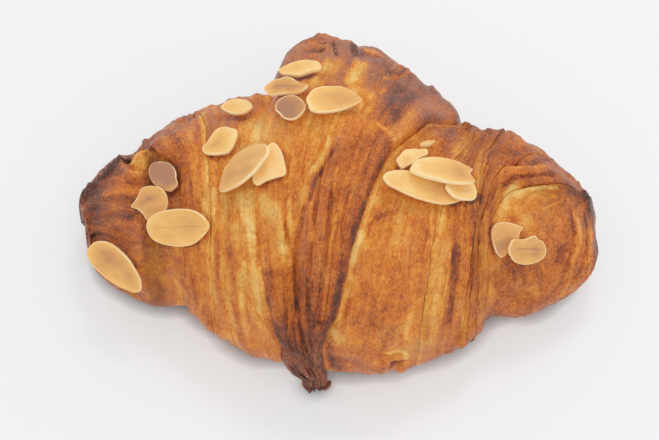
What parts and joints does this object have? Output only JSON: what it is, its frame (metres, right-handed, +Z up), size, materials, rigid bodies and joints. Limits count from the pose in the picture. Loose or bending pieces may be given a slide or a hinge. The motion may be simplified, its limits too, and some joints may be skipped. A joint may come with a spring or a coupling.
{
  "type": "almond croissant",
  "caption": "Baked croissant of rolled dough with raised wraps and a dry tail at the front, strewn with toasted almond slices; it rests on its flat underside.",
  "frame": {"origin": "middle of the bounding box in plan, on the surface it rests on", "axes": "+X along the roll towards its right end, +Y to the back, away from the tail, +Z up"},
  "size_m": [0.158, 0.1045, 0.0659],
  "materials": {
    "baked_crust": "satin",
    "toasted_almond": "matte"
  },
  "bodies": {
    "root": {"croissant": "baked_crust", "almond_chip_01": "toasted_almond", "almond_slice_01": "toasted_almond", "almond_slice_02": "toasted_almond", "almond_slice_03": "toasted_almond", "almond_slice_04": "toasted_almond", "almond_slice_05": "toasted_almond", "almond_slice_06": "toasted_almond", "almond_slice_07": "toasted_almond", "almond_slice_08": "toasted_almond", "almond_slice_09": "toasted_almond", "almond_slice_10": "toasted_almond", "almond_slice_11": "toasted_almond", "almond_slice_12": "toasted_almond", "almond_slice_13": "toasted_almond", "almond_slice_14": "toasted_almond", "almond_slice_15": "toasted_almond", "almond_slice_16": "toasted_almond", "almond_slice_17": "toasted_almond", "almond_slice_18": "toasted_almond"}
  },
  "joints": []
}
